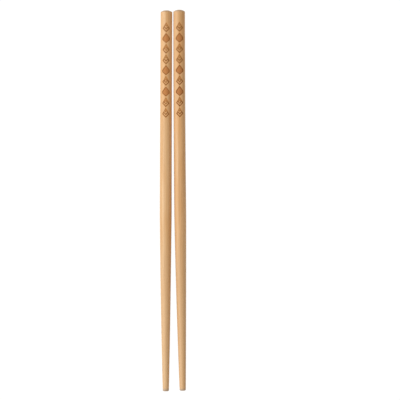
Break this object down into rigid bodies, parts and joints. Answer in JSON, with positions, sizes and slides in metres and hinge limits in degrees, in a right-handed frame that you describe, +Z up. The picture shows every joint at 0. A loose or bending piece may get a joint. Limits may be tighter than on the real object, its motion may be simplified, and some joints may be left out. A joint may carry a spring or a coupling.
{
  "type": "pair of chopsticks",
  "caption": "Round tapered bamboo chopsticks lying side by side, with domed ends and a column of burnt lozenges on the grip, for picking up and eating food.",
  "frame": {"origin": "on the table, under the middle of the pair", "axes": "+Z up from the table, +Y along the sticks towards their heads, +X from the left stick to the right one"},
  "size_m": [0.0168, 0.2404, 0.0075],
  "materials": {
    "bamboo": "satin"
  },
  "bodies": {
    "root": {"left_chopstick": "bamboo", "right_chopstick": "bamboo"}
  },
  "joints": []
}
